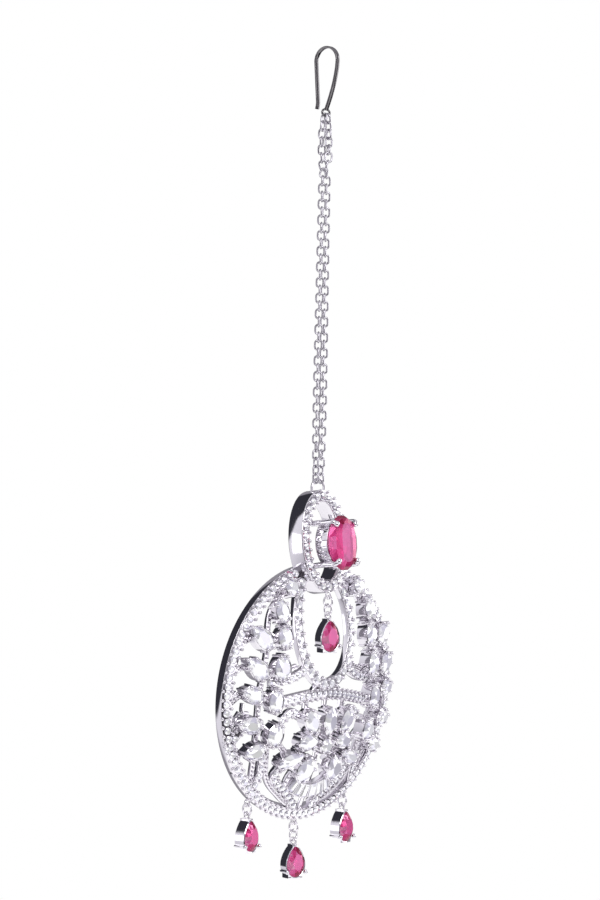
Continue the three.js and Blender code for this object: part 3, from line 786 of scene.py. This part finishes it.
# Disc: a shallow cast dome, open inside an oval ring at its top. Its rim, deeper than the rest,
# and the ring are flat bands with rows of small stones between raised beads.
DISC_RADIUS, DISC_RISE, DISC_DEPTH = 23.4, 4.8, 1.2
DISC_SETBACK, DISC_DROP, DISC_LEAN = 1.6, 38.225, math.radians(4.6)
RIM_BAND, RIM_DEPTH, RIM_DRAFT, RIM_EDGE = 2.1, 1.9, 0.13, 0.07
RIM_START, RIM_STEPS = math.radians(13), 181
RIM_ROW = 81
HOLE_WIDTH, HOLE_HEIGHT, HOLE_BAND, HOLE_UP = 12.6, 19, 2, 12.3
HOLE_START, HOLE_STEPS = math.radians(52), 97
HOLE_ROW, HOLE_STONE = 22, 1.5
ROW_CROWN, ROW_PAVILION, ROW_STONE_RISE, ROW_BEAD_RISE = 0.28, 0.4, 0.1, 0.16
FREE_ENDS = slice(2, -2)
DOME_SLOPE = 2 * DISC_RISE / DISC_RADIUS**2
ROUTE_STEPS, ROUTE_SPACING = 12, 0.45

disc_frame = (
    pendant_frame
    @ Matrix.Translation((0, DISC_SETBACK, -DISC_DROP))
    @ Matrix.Rotation(DISC_LEAN, 4, "X")
)


def on_dome(flat, rise=0.0):
    """Places on the dome's front for x and z on the disc, and the way straight out of it."""
    flat = np.asarray(flat, float)
    x, z = flat[..., 0], flat[..., 1]
    y = -DISC_RISE * (1 - (x**2 + z**2) / DISC_RADIUS**2)
    outward = unit(np.stack([x * DOME_SLOPE, -np.ones_like(x), z * DOME_SLOPE], axis=-1))
    return np.stack([x, y, z], axis=-1) + outward * rise, outward


def line_length(line):
    return np.linalg.norm(np.diff(line, axis=0), axis=1).sum()


def smooth_route(stops):
    """A smooth line through the stops, in even steps."""
    line = smooth_stops(stops, ROUTE_STEPS)
    return evenly(line, max(3, round(line_length(line) / ROUTE_SPACING) + 1), False)[0]


def domed_band(heap, flat, width, front=0.0, depth=DISC_DEPTH, corner=EDGE_ROUND):
    """A flat bar along a line on the disc, its front a rise above the dome."""
    line, outward = on_dome(flat, front - depth / 2)
    sweep(heap, line, outward, bar_section(width, depth, corner))


def stone_row(stones, beads, flat, count, width, stone=PAVE_STONE, bead=PAVE_BEAD):
    """A row of small stones along a band, with two beads between each pair."""
    places, along = evenly(flat, count, False)
    spots, outward = on_dome(places, ROW_STONE_RISE)
    form = cut_form(stone, stone, 0, ROW_CROWN, ROW_PAVILION, PAVE_TABLE, PAVE_SIDES)
    set_stones(stones, form, spots, outward, at_depth(along))
    middles = (places[1:] + places[:-1]) / 2
    across_row = unit(along[1:] + along[:-1])[:, ::-1] * [1, -1]
    for side in (-1, 1):
        edge = middles + side * across_row * (width / 2 - bead * BEAD_INSET)
        balls(beads, on_dome(edge, ROW_BEAD_RISE)[0], bead)


disc_rim, rim_stones = Heap(), Heap()
rim_angles = np.linspace(RIM_START, 2 * math.pi - RIM_START, RIM_STEPS)
rim_middle = DISC_RADIUS - RIM_BAND / 2
rim_line = np.stack([np.sin(rim_angles), np.cos(rim_angles)], axis=1) * rim_middle
rim_section = bar_section(RIM_BAND, RIM_DEPTH, RIM_EDGE)
behind_front = rim_section[:, 1] - RIM_DEPTH / 2
rim_section[:, 0] += np.where(rim_section[:, 0] < 0, RIM_DRAFT, 0) * behind_front
rim_spots, rim_outward = on_dome(rim_line, -RIM_DEPTH / 2)
sweep(disc_rim, rim_spots, rim_outward, rim_section)
stone_row(rim_stones, disc_rim, rim_line[FREE_ENDS], RIM_ROW, RIM_BAND)
make("disc_rim_band", disc_rim.place(disc_frame), bright_rhodium, "pendant")
rim_stones.place(disc_frame)
make("rim_row_stones", rim_stones, clear_stone, "pendant", flat=True)

hole_ring, hole_stones = Heap(), Heap()
hole_angles = np.linspace(HOLE_START, -math.pi - HOLE_START, HOLE_STEPS)
hole_reach = [(HOLE_WIDTH + HOLE_BAND) / 2, (HOLE_HEIGHT + HOLE_BAND) / 2]
hole_line = np.stack([np.cos(hole_angles), np.sin(hole_angles)], axis=1) * hole_reach
hole_line += [0, HOLE_UP]
domed_band(hole_ring, hole_line, HOLE_BAND)
stone_row(hole_stones, hole_ring, hole_line[FREE_ENDS], HOLE_ROW, HOLE_BAND, HOLE_STONE)
make("opening_ring_band", hole_ring.place(disc_frame), bright_rhodium, "pendant")
hole_stones.place(disc_frame)
make("opening_row_stones", hole_stones, clear_stone, "pendant", flat=True)

# Vine: narrow cast stems inside the rim that tie the stones to the rim and to the opening's ring,
# with the arch under the opening and a spine down the middle. Grains of metal run along the
# stems, and a row of small stones along the arch and along each branch.
ARCH_BAND, ARCH_ROW, ARCH_STONE, ARCH_BEAD = 2.1, 20, 1.15, 0.55
STEM_BAND, STEM_LEVEL, STEM_EDGE = 1, 0.2, 0.12
GRAIN, GRAIN_PITCH, GRAIN_RISE = 0.46, 0.78, 0.06
# Routes of the stems are in disc radii, those of branches and thin stems in millimetres.
MIDDLE_STEMS = [
    {
        "name": "arch",
        "level": 0.05,
        "band": ARCH_BAND,
        "route": [[-0.58, -0.07], [0, 0.005], [0.58, -0.07]],
    },
    {
        "name": "spine",
        "level": 0.3,
        "band": STEM_BAND,
        "route": [[0, -0.03], [0, -0.48], [0, -0.94]],
    },
]
SIDE_STEMS = [
    {
        "name": "vine",
        "route": [[0.42, 0.8], [0.58, 0.6], [0.63, 0.3], [0.68, 0], [0.66, -0.35], [0.6, -0.76]],
    },
    {"name": "leaf_stem_1", "route": [[0.48, 0.44], [0.7, 0.46], [0.88, 0.36]]},
    {"name": "leaf_stem_2", "route": [[0.34, 0.22], [0.6, 0.16], [0.8, 0.22], [0.95, 0.14]]},
    {"name": "leaf_stem_3", "route": [[0.62, 0], [0.8, 0.02], [0.96, -0.1]]},
    {"name": "leaf_stem_4", "route": [[0.64, -0.2], [0.8, -0.22], [0.92, -0.36]]},
    {"name": "leaf_stem_5", "route": [[0.64, -0.44], [0.76, -0.44], [0.8, -0.56]]},
    {"name": "cross_stem", "route": [[0.68, -0.2], [0.5, -0.32], [0.3, -0.46], [0, -0.38]]},
    {"name": "petal_stem", "route": [[0.22, -0.04], [0.2, -0.2], [0.06, -0.36]]},
    {"name": "loop", "route": [[0.56, -0.32], [0.48, -0.64], [0.3, -0.8], [0.12, -0.9]]},
    {"name": "loop_tie", "route": [[0.1, -0.5], [0.24, -0.62], [0.28, -0.8]]},
]
BRANCH_BAND, BRANCH_LEVEL, BRANCH_THINNED = 1.55, 0.02, 0.1
BRANCH_STONE, BRANCH_BEAD = 1.1, 0.5
BRANCHES = [
    {"name": "ring_branch", "stones": 6, "route": [(6.2, 4.4), (9, 3.1), (11.5, 2.6), (14, 2.3)]},
    {"name": "window_curve", "stones": 4, "route": [(10.7, -4.6), (8.5, -3.1), (6.2, -4)]},
    {"name": "rim_branch", "stones": 3, "route": [(18.6, -5.8), (20, -8.2), (20.8, -9.8)]},
    {"name": "lower_branch", "stones": 5, "route": [(13.2, -11.6), (13, -14.5), (13.8, -17.8)]},
    {
        "name": "bottom_curl",
        "stones": 9,
        "route": [(8.8, -13.1), (9.6, -15.3), (6.9, -17.1), (4.5, -18.9), (2.4, -20.7)],
    },
]
THIN_BAND, THIN_LEVEL, THIN_THINNED = 0.6, 0.1, 0.3
THIN_STEMS = [
    [(20.4, 0.6), (21.6, -0.8), (22.6, -2.3)],
    [(19.6, -3), (20.9, -5.6), (21.5, -8.7)],
    [(19.1, -1.4), (19, -3), (17.8, -3.2)],
    [(18.3, -11.2), (18.4, -14.4)],
    [(3, 1.6), (3.9, 0.6), (3.2, 0)],
]

stems, branch_stones = Heap(), Heap()
for row in MIDDLE_STEMS:
    route = smooth_route(np.array(row["route"]) * DISC_RADIUS)
    domed_band(stems, route, row["band"], -row["level"], DISC_DEPTH - 2 * row["level"])
    if row["name"] == "arch":
        stone_row(branch_stones, stems, route, ARCH_ROW, ARCH_BAND, ARCH_STONE, ARCH_BEAD)
for side in (-1, 1):
    for row in SIDE_STEMS:
        route = smooth_route(np.array(row["route"]) * DISC_RADIUS * [side, 1])
        domed_band(stems, route, STEM_BAND, -STEM_LEVEL, DISC_DEPTH - 2 * STEM_LEVEL, STEM_EDGE)
        grains = max(2, round(line_length(route) / GRAIN_PITCH))
        grain_places = evenly(route, grains, False)[0]
        balls(stems, on_dome(grain_places, GRAIN_RISE)[0], GRAIN)
    for row in BRANCHES:
        route = smooth_route(np.array(row["route"]) * [side, 1])
        domed_band(stems, route, BRANCH_BAND, -BRANCH_LEVEL, DISC_DEPTH - BRANCH_THINNED)
        stone_row(branch_stones, stems, route, row["stones"], BRANCH_BAND, BRANCH_STONE, BRANCH_BEAD)
    for route in THIN_STEMS:
        route = smooth_route(np.array(route) * [side, 1])
        domed_band(stems, route, THIN_BAND, -THIN_LEVEL, DISC_DEPTH - THIN_THINNED)

# Fan: six small step-cut baguettes side by side under the flower. They lie on a curved bed, cast
# in one with the stems, with a low wall between each pair.
FAN_MIDDLE, FAN_REACH = np.array([0, -9]), 8.8
FAN_TURNS = np.radians([-31, -19, -7, 7, 19, 31])
FAN_WALL, FAN_WALL_RISE, FAN_WALL_DEPTH, FAN_WALL_EDGE = 0.3, 0.4, 0.8, 0.08
FAN_BED_MARGIN, FAN_BED_SHARE, FAN_BED_STEPS, FAN_BED_RISE = 0.5, 1.2, 24, 0.1
BAGUETTE_WIDTH, BAGUETTE_LENGTH, BAGUETTE_RISE = 1.4, 2.5, 0.25
# Edges of the step cut: how far in from the outline, and y.
BAGUETTE_STEPS = [(0.42, -0.42), (0.2, -0.3), (0, -0.05), (0, 0.05), (0.3, 0.35), (0.55, 0.5)]


def fan_way(turns):
    """Straight down the disc, turned towards the right."""
    return np.stack([np.sin(turns), -np.cos(turns)], axis=-1)


baguette = Heap()
corners = np.array([(1, 1), (-1, 1), (-1, -1), (1, -1)]) / 2
loft(baguette, [
    at_depth(corners * [BAGUETTE_WIDTH - 2 * inset, BAGUETTE_LENGTH - 2 * inset], y)
    for inset, y in BAGUETTE_STEPS
])
baguette_form = baguette.points[0], baguette.faces
bed_turns = np.linspace(FAN_TURNS[0] * FAN_BED_SHARE, FAN_TURNS[-1] * FAN_BED_SHARE, FAN_BED_STEPS)
bed_line = fan_way(bed_turns) * FAN_REACH + FAN_MIDDLE
domed_band(stems, bed_line, BAGUETTE_LENGTH + FAN_BED_MARGIN, FAN_BED_RISE)
fan_stones = Heap()
fan_along = fan_way(FAN_TURNS)
places, outward = on_dome(fan_along * FAN_REACH + FAN_MIDDLE, BAGUETTE_RISE)
set_stones(fan_stones, baguette_form, places, outward, at_depth(fan_along))
near, far = FAN_REACH - BAGUETTE_LENGTH / 2, FAN_REACH + BAGUETTE_LENGTH / 2
for way in fan_way((FAN_TURNS[1:] + FAN_TURNS[:-1]) / 2):
    wall = np.linspace(way * near, way * far, 3) + FAN_MIDDLE
    domed_band(stems, wall, FAN_WALL, FAN_WALL_RISE, FAN_WALL_DEPTH, FAN_WALL_EDGE)
fan_stones.place(disc_frame)
make("fan_baguettes", fan_stones, clear_stone, "pendant", flat=True)
make("vine_and_arch", stems.place(disc_frame), bright_rhodium, "pendant")
branch_stones.place(disc_frame)
make("branch_row_stones", branch_stones, clear_stone, "pendant", flat=True)

# White stones: leaf, petal and round stones of the vine and flower, each in its own collet soldered
# to the stems, held by small ball-ended prongs.
COLLET_WALL, COLLET_GAP = 0.3, 0.12
CUP_SIDES, CUP_CONE, CUP_SEAT, CUP_FOOT = 28, 0.1, 0.94, 1.6
LIP_INNER, LIP_TOP, LIP_OUTER = -0.02, -0.08, 0.06
STONE_RISE, STONE_CROWN, STONE_PAVILION, STONE_TABLE, STONE_SIDES = 1.5, 0.75, 1, 0.55, 8
PRONG_BALL, PRONG_WIRE = 0.72, 0.42
PRONG_OFFSET, BALL_REACH, BALL_RISE = 0.3, 0.12, 0.3
PRONG_TURNS = [
    ("inner", (-30, 0, 30, 150, 180, 210)),
    ("outer", (0, 60, 140, 180, 220, 300)),
    ("heart", (0, 72, 144, 216, 288)),
]
OTHER_TURNS = (0, 60, 140, 220, 300)
# Name, x, z, width and length in disc radii, turn in degrees, and how pointed the stone is.
VINE_STONES = [
    ("tip", 0.39, 0.8, 0.115, 0.12, 0, 0),
    ("bud", 0.51, 0.63, 0.125, 0.17, 10, 0.35),
    ("leaf_1_outer", 0.705, 0.435, 0.145, 0.225, 50, 0.5),
    ("leaf_1_inner", 0.5, 0.44, 0.14, 0.165, -5, 0.3),
    ("leaf_2_outer", 0.75, 0.21, 0.145, 0.22, 55, 0.5),
    ("leaf_2_inner", 0.53, 0.215, 0.15, 0.185, 0, 0.3),
    ("leaf_3_outer", 0.775, 0.015, 0.13, 0.18, 70, 0.4),
    ("leaf_3_inner", 0.575, -0.03, 0.13, 0.175, 0, 0.2),
    ("leaf_4_outer", 0.77, -0.215, 0.13, 0.185, 85, 0.4),
    ("leaf_4_inner", 0.54, -0.29, 0.145, 0.17, -10, 0.2),
    ("leaf_5", 0.69, -0.42, 0.125, 0.18, 105, 0.4),
    ("petal_upper", 0.2, -0.2, 0.14, 0.19, -145, 0.4),
    ("petal_side", 0.2, -0.35, 0.13, 0.19, -85, 0.4),
    ("sepal", 0.335, -0.485, 0.11, 0.25, -70, 0.55),
    ("petal_lower", 0.165, -0.565, 0.17, 0.2, -35, 0.2),
]
CENTRE_STONES = [
    ("petal_top", 0, -0.2, 0.15, 0.21, 180, 0.5),
    ("flower_heart", 0, -0.385, 0.115, 0.115, 0, 0),
]


def cup(heap, width, length, point, wall, depth, pavilion, place):
    """A setting like a cup: a bevelled lip, upright outside, and a cone inside under the stone.
    Its rings are a share of the stone's outline, and wider by so many walls."""
    profile = [
        (CUP_CONE, 0, pavilion + COLLET_GAP),
        (CUP_SEAT, 0, COLLET_GAP),
        (1, 0, LIP_INNER),
        (1, 1, LIP_TOP),
        (1, 2, LIP_OUTER),
        (1, CUP_FOOT, depth),
    ]
    part = Heap()
    rings = []
    for share, walls, y in profile:
        wider = wall * walls
        ring = outline(width * share + wider, length * share + wider, point, CUP_SIDES)
        rings.append(at_depth(ring, y))
    loft(part, rings)
    heap.join(part.place(place))


def prongs(heap, width, length, point, turns, depth, place, ball=PRONG_BALL, reach=BALL_REACH):
    """Short posts up the outside of a cup, each with a ball over the stone's edge."""
    part = Heap()
    for turn in np.radians(turns):
        edge = at_depth(outline(width, length, point, 1, start=turn))[0]
        outwards = at_depth(outline(2, 2, 0, 1, start=turn))[0]
        foot = edge + outwards * PRONG_OFFSET
        wire(part, [foot + [0, depth, 0], foot], PRONG_WIRE, sides=THIN_WIRE_SIDES)
        balls(part, [edge + outwards * reach - [0, BALL_RISE, 0]], ball)
    heap.join(part.place(place))


settings = Heap()
collet_depth = STONE_RISE + DISC_DEPTH / 2
stones_to_set = [(row, "", 1) for row in CENTRE_STONES]
for ending, sign in (("_right", 1), ("_left", -1)):
    stones_to_set += [(row, ending, sign) for row in VINE_STONES]
for (base_name, x, z, width, length, turn, point), ending, sign in stones_to_set:
    name = base_name + ending
    width, length = width * DISC_RADIUS, length * DISC_RADIUS
    spot, outward = on_dome(np.array([sign * x, z]) * DISC_RADIUS, STONE_RISE)
    place = (
        disc_frame
        @ Matrix.Translation(Vector(spot))
        @ Vector((0, -1, 0)).rotation_difference(Vector(outward)).to_matrix().to_4x4()
        @ Matrix.Rotation(sign * math.radians(turn), 4, "Y")
    )
    stone = Heap()
    stone.add(*cut_form(width, length, point, STONE_CROWN, STONE_PAVILION, STONE_TABLE, STONE_SIDES))
    piece = make(f"{name}_cut", stone.place(place), clear_stone, "pendant", flat=True)
    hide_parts(f"stone_{name}")
    cup(settings, width, length, point, COLLET_WALL, collet_depth, STONE_PAVILION, place)
    turns = next((turns for kind, turns in PRONG_TURNS if kind in name), OTHER_TURNS)
    prongs(settings, width, length, point, turns, collet_depth, place)
make("vine_stone_settings", settings, bright_rhodium, "pendant")

# Red drops: pear stones in closed cups with a bar across their broad foot, each hung from the
# oval frame or the rim by soldered eyes and round jump rings. The two that hang from a pair of
# rings have turned a little on them.
DROP_LENGTH, DROP_WIDTH, DROP_CROWN, DROP_PAVILION, DROP_POINT = 5.5, 3.9, 0.9, 1.6, 0.45
DROP_TABLE, DROP_SIDES = 0.55, 10
DROP_PRONG_TURNS, DROP_BALL, DROP_BALL_REACH = (125, 235), 0.85, 0.4
CUP_WALL, CUP_DEPTH = 0.28, 2.2
FOOT_BAR_WIDTH, FOOT_BAR_HEIGHT, FOOT_BAR_UP, BAR_SETBACK = 2.9, 1.0, 0.55, 0.1
CAP_WIDTH, CAP_BELOW, CAP_ABOVE = 1.1, 0.5, 0.35
LOOP_SIZE, JUMP_RING_SIZE, RING_WIRE, RING_STEPS = 1.6, 2.3, 0.36, 28
DROP_SPREAD, TWO_RING_TURN = math.radians(34), math.radians(-20)
TWO_RINGS = ["upper_ring", "lower_ring"]
LOWER_DROPS = [
    {"name": "left_drop", "along_rim": -DROP_SPREAD, "rings": ["ring"], "turn": 0},
    {"name": "middle_drop", "along_rim": 0, "rings": TWO_RINGS, "turn": TWO_RING_TURN},
    {"name": "right_drop", "along_rim": DROP_SPREAD, "rings": ["ring"], "turn": 0},
]


def ring_of_wire(heap, size, side_on, place):
    """A soldered ring round a place, its hole towards the front, or to the sides if side on."""
    line = at_depth(circle(RING_STEPS, (size - RING_WIRE) / 2))
    if side_on:
        line = line[:, [1, 0, 2]]
    wire(heap, line + place, RING_WIRE, closed=True)


def hang(name, eye, rings, turn):
    """Jump rings below an eye, each through the one above, and a pear drop on the last."""
    ring_gap = COLLET_GAP + 2 * RING_WIRE
    z, upper = 0, LOOP_SIZE
    for i, ring_name in enumerate(rings):
        z -= (upper + JUMP_RING_SIZE) / 2 - ring_gap
        upper = JUMP_RING_SIZE
        jump = Heap()
        ring_of_wire(jump, JUMP_RING_SIZE, i % 2 == 0, eye + [0, 0, z])
        piece = make(f"{name}_{ring_name}_wire", jump, bright_rhodium, "pendant")
        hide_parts(f"{name}_{ring_name}")
    z -= (upper + LOOP_SIZE) / 2 - ring_gap
    holder = Heap()
    ring_of_wire(holder, LOOP_SIZE, len(rings) % 2 == 0, eye + [0, 0, z])
    stone_z = z - LOOP_SIZE / 2 + RING_WIRE / 2 - CUP_WALL - DROP_LENGTH / 2
    place = (
        Matrix.Translation(Vector(eye))
        @ Matrix.Rotation(turn, 4, "Z")
        @ Matrix.Translation((0, -CUP_DEPTH / 2, stone_z))
    )
    pear = DROP_WIDTH, DROP_LENGTH, DROP_POINT
    cup(holder, *pear, CUP_WALL, CUP_DEPTH, DROP_PAVILION, place)
    prongs(holder, *pear, DROP_PRONG_TURNS, CUP_DEPTH, place, DROP_BALL, DROP_BALL_REACH)
    bars = Heap()
    bar_y = CUP_DEPTH / 2 + BAR_SETBACK
    foot_z = FOOT_BAR_HEIGHT * FOOT_BAR_UP - DROP_LENGTH / 2 - CUP_WALL
    foot = [(share * FOOT_BAR_WIDTH / 2, bar_y, foot_z) for share in (-1, 0, 1)]
    sweep(bars, foot, forwards(3), bar_section(FOOT_BAR_HEIGHT, CUP_DEPTH, EDGE_ROUND))
    cap = [(0, bar_y, DROP_LENGTH / 2 - CAP_BELOW), (0, bar_y, DROP_LENGTH / 2 + CAP_ABOVE)]
    sweep(bars, cap, forwards(2), bar_section(CAP_WIDTH, CUP_DEPTH, EDGE_ROUND))
    holder.join(bars.place(place))
    piece = make(f"{name}_cup", holder, bright_rhodium, "pendant")
    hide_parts(f"{name}_setting")
    stone = Heap()
    stone.add(*cut_form(*pear, DROP_CROWN, DROP_PAVILION, DROP_TABLE, DROP_SIDES))
    piece = make(f"{name}_cut", stone.place(place), ruby_stone, "pendant", flat=True)
    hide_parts(f"{name}_stone")


eye_reach = LOOP_SIZE / 2 - RING_WIRE
eyes = Heap()
oval_eye = np.array(oval_frame @ Vector((0, -OVAL_DEPTH / 2, -OVAL_HEIGHT / 2 - eye_reach)))
ring_of_wire(eyes, LOOP_SIZE, False, oval_eye)
hang("inner_drop", oval_eye, TWO_RINGS, TWO_RING_TURN)
for drop in LOWER_DROPS:
    reach = DISC_RADIUS + eye_reach
    across_disc, up_disc = fan_way(drop["along_rim"]) * reach
    eye = np.array(disc_frame @ Vector((across_disc, DISC_DEPTH / 2, up_disc)))
    ring_of_wire(eyes, LOOP_SIZE, False, eye)
    hang(drop["name"], eye, drop["rings"], drop["turn"])
make("drop_eyes", eyes, bright_rhodium, "pendant")
